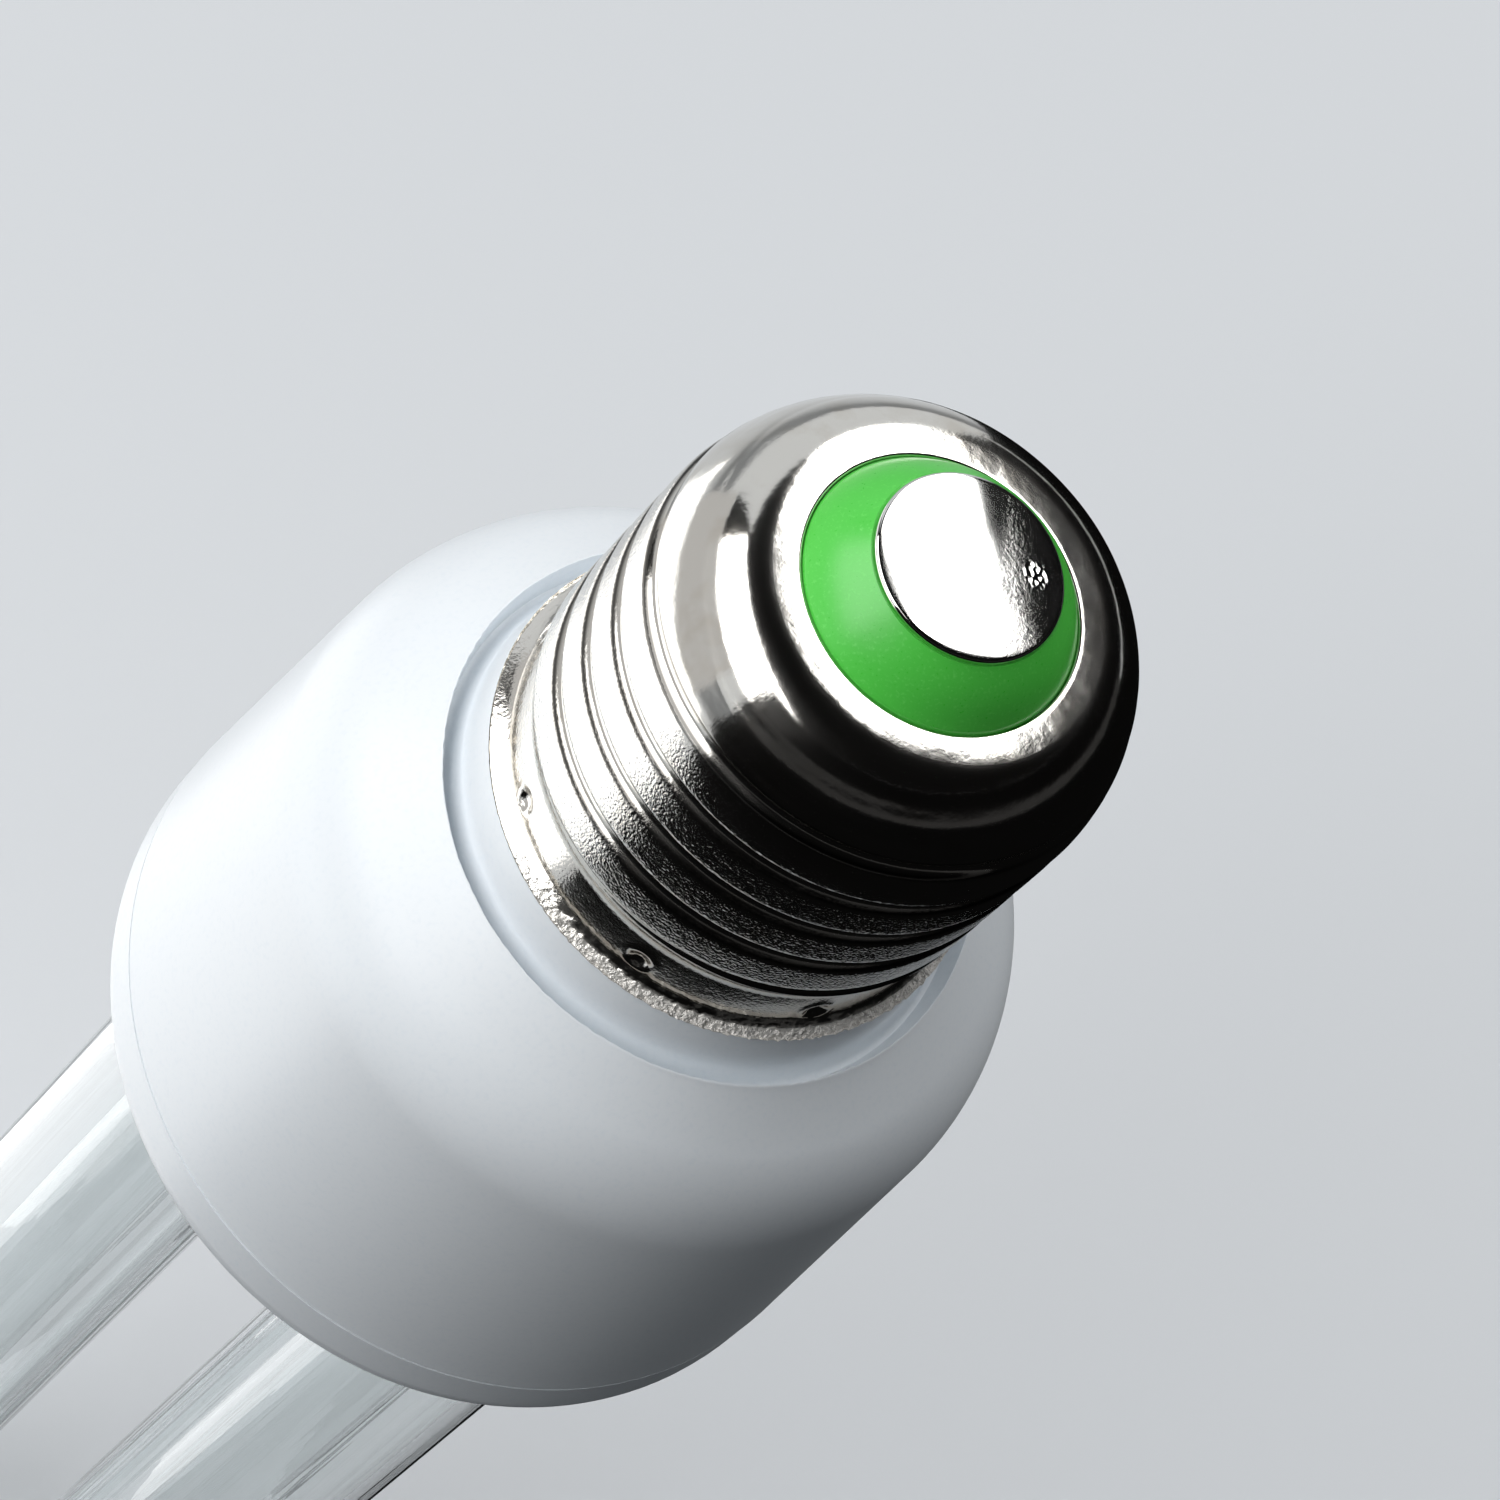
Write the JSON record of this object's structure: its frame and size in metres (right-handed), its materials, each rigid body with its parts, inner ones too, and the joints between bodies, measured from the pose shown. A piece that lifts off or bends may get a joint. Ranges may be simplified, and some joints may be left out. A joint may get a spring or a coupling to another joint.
{
  "type": "germicidal uv bulb",
  "caption": "Germicidal ultraviolet lamp: a clear quartz double U discharge tube on a white ballast housing with an E27 screw cap.",
  "frame": {"origin": "middle of the centre contact's outer face, on the lamp's axis", "axes": "+Z along the lamp's axis, out of the centre contact and away from the tube; -Y is the side with the two electrode legs; +X completes the right-handed frame"},
  "size_m": [0.043, 0.043, 0.168],
  "materials": {
    "cap_metal": "bright rolled sheet, satin on the crests",
    "contact_metal": "bright, scratched in use",
    "cap_insulator": "satin moulded green resin",
    "housing": "semi-gloss moulded cool white",
    "quartz": "clear drawn quartz",
    "cement": "matt white lamp cement",
    "lead_wire": "drawn nickel wire",
    "bead_glass": "clear lead glass",
    "filament": "white emissive coat on tungsten",
    "amalgam": "bright pellet",
    "board_laminate": "tan paper laminate",
    "solder": "soft solder",
    "sleeve": "shrunk black sleeve",
    "ferrite": "ground dark ferrite",
    "bobbin": "moulded cream bobbin",
    "copper_winding": "enamelled copper wire",
    "moulded_black": "moulded epoxy",
    "film_dip": "dipped resin",
    "resistor_coat": "lacquered ceramic rod",
    "diac_glass": "tinted glass bead",
    "wire_cover": "insulated wire",
    "bare_wire": "tinned copper wire"
  },
  "bodies": {
    "root": {"screw_shell": "cap_metal", "cap_insulator": "cap_insulator", "centre_contact": "contact_metal", "upper_housing": "housing", "tube_holder": "housing", "tube_cement": "cement", "discharge_tube": "quartz", "mercury_amalgam": "amalgam", "electrode_1_leads": "lead_wire", "electrode_1_bead": "bead_glass", "electrode_1_filament": "filament", "electrode_2_leads": "lead_wire", "electrode_2_bead": "bead_glass", "electrode_2_filament": "filament", "circuit_board": "board_laminate", "solder_joints": "solder", "bulk_capacitor": "sleeve", "choke_core": "ferrite", "choke_bobbin": "bobbin", "choke_winding": "copper_winding", "drive_toroid": "ferrite", "toroid_windings": "copper_winding", "transistor_1": "moulded_black", "transistor_2": "moulded_black", "film_capacitor_1": "film_dip", "film_capacitor_2": "film_dip", "rectifier_diode_1": "moulded_black", "rectifier_diode_2": "moulded_black", "rectifier_diode_3": "moulded_black", "rectifier_diode_4": "moulded_black", "resistor_1": "resistor_coat", "resistor_2": "resistor_coat", "diac": "diac_glass", "fuse_resistor": "resistor_coat", "line_wire": "wire_cover", "neutral_wire": "bare_wire"}
  },
  "joints": []
}
